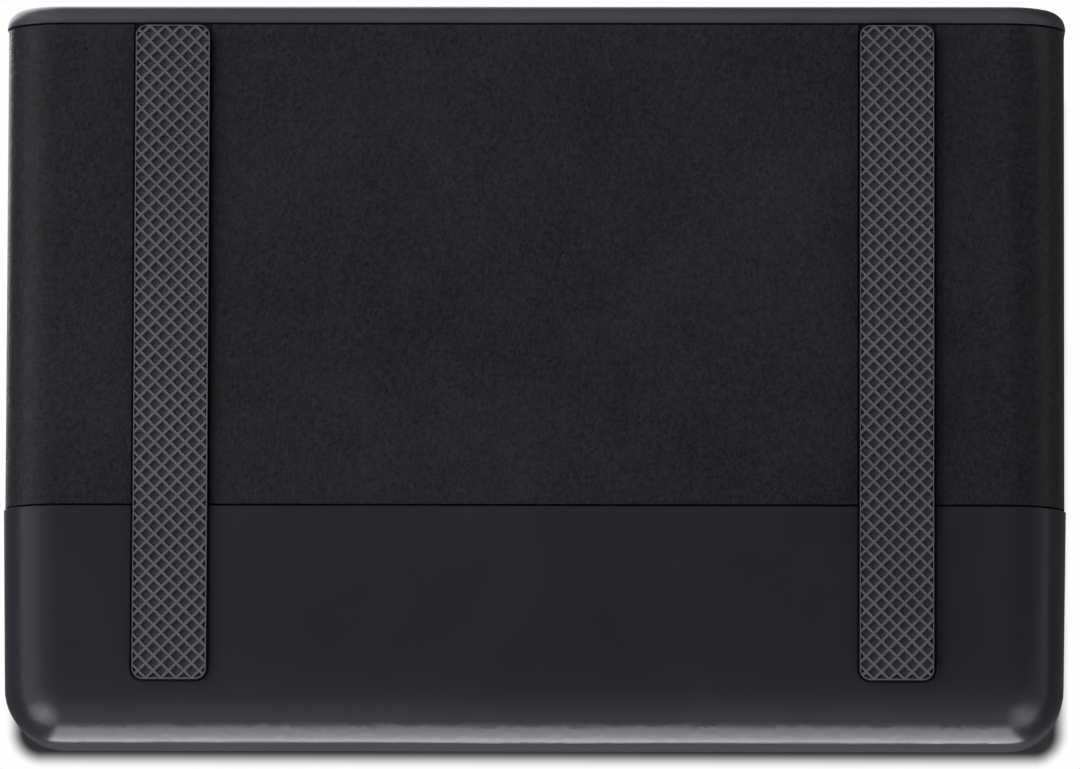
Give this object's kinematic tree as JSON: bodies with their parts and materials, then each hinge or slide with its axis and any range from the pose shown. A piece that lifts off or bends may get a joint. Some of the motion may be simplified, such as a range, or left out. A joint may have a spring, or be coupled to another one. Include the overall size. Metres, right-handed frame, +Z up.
{
  "type": "ssd duplicator",
  "caption": "Slim black drive duplicator with hinged bay lids, key panel and display, standing on two knurled rubber strips.",
  "frame": {"origin": "on the surface that the feet stand on, under the middle of the box", "axes": "+X along the width, +Y from the front panel to the rear connectors, +Z up"},
  "size_m": [0.15, 0.1042, 0.0285],
  "materials": {
    "textured_shell": "fine spark-eroded grain",
    "satin_shell": "smooth satin",
    "cap_shell": "smooth satin",
    "foot_rubber": "knurled",
    "lid": "fine grain",
    "aluminium": "milled",
    "thermal_pad": "soft silicone",
    "steel": "zinc plated",
    "magnet": "nickel plated",
    "board": "solder mask",
    "connector": "moulded",
    "chip": "moulded",
    "can": "drawn can",
    "ribbon": "flat flex",
    "lens": "smoked window",
    "lcd": "display glass",
    "light_pipe": "frosted",
    "led": "moulded",
    "key": "satin",
    "clip": "moulded",
    "contact": "plated",
    "rocker": "moulded"
  },
  "bodies": {
    "housing": {"base_shell": "textured_shell", "top_shell": "textured_shell", "front_shell": "satin_shell", "rear_cap": "cap_shell", "foot_strip_left": "foot_rubber", "foot_strip_right": "foot_rubber", "main_board": "board", "control_board": "board", "display_ribbon": "ribbon", "ribbon_sockets": "connector", "controller_chips": "chip", "spreader_plate": "aluminium", "spreader_pads": "thermal_pad", "board_capacitors": "can", "board_inductors": "chip", "display_lens": "lens", "lcd_frame": "connector", "lcd_panel": "lcd", "key_switches": "connector", "light_pipes": "light_pipe", "status_leds": "led", "dc_jack_body": "connector", "dc_jack_pin": "contact", "usb_port_shell": "steel", "usb_port_tongue": "connector", "power_switch_body": "connector", "catch_magnets": "magnet", "case_screws": "steel", "cup_screws": "steel", "board_screws": "steel", "panel_screws": "steel", "cap_screws": "steel", "lid_hinge_pin_1": "steel", "m2_socket_1": "connector", "lid_hinge_pin_2": "steel", "m2_socket_2": "connector"},
    "lid_1": {"bay_lid_1": "lid", "lid_heatsink_1": "aluminium", "lid_thermal_pad_1": "thermal_pad", "lid_screws_1": "steel", "lid_magnets_1": "magnet"},
    "clip_1": {"drive_clip_1": "clip"},
    "lid_2": {"bay_lid_2": "lid", "lid_heatsink_2": "aluminium", "lid_thermal_pad_2": "thermal_pad", "lid_screws_2": "steel", "lid_magnets_2": "magnet"},
    "clip_2": {"drive_clip_2": "clip"},
    "key_up_cap": {"key_up": "key", "switch_plunger_1": "connector"},
    "key_down_cap": {"key_down": "key", "switch_plunger_2": "connector"},
    "key_back_cap": {"key_back": "key", "switch_plunger_3": "connector"},
    "key_enter_cap": {"key_enter": "key", "switch_plunger_4": "connector"},
    "rocker": {"power_rocker": "rocker"}
  },
  "joints": [
    {"name": "lid_1_hinge", "type": "hinge", "parent": "housing", "child": "lid_1", "pos_m": [0, 0.0446, 0.0258], "axis": [-1, 0, 0], "range_deg": [0, 95]},
    {"name": "clip_1_slide", "type": "slide", "parent": "housing", "child": "clip_1", "axis": [-1, 0, 0], "range_m": [0, 0.05]},
    {"name": "lid_2_hinge", "type": "hinge", "parent": "housing", "child": "lid_2", "pos_m": [0, 0.012, 0.0258], "axis": [-1, 0, 0], "range_deg": [0, 95]},
    {"name": "clip_2_slide", "type": "slide", "parent": "housing", "child": "clip_2", "axis": [-1, 0, 0], "range_m": [0, 0.05]},
    {"name": "key_up_press", "type": "slide", "parent": "housing", "child": "key_up_cap", "axis": [0, 0, -1], "range_m": [0, 0.0006], "stiffness_N_per_m": 2000},
    {"name": "key_down_press", "type": "slide", "parent": "housing", "child": "key_down_cap", "axis": [0, 0, -1], "range_m": [0, 0.0006], "stiffness_N_per_m": 2000},
    {"name": "key_back_press", "type": "slide", "parent": "housing", "child": "key_back_cap", "axis": [0, 0, -1], "range_m": [0, 0.0006], "stiffness_N_per_m": 2000},
    {"name": "key_enter_press", "type": "slide", "parent": "housing", "child": "key_enter_cap", "axis": [0, 0, -1], "range_m": [0, 0.0006], "stiffness_N_per_m": 2000},
    {"name": "rocker_tilt", "type": "hinge", "parent": "housing", "child": "rocker", "pos_m": [-0.0641, 0.0474, 0.0147], "axis": [1, 0, 0], "range_deg": [0, 14]}
  ]
}
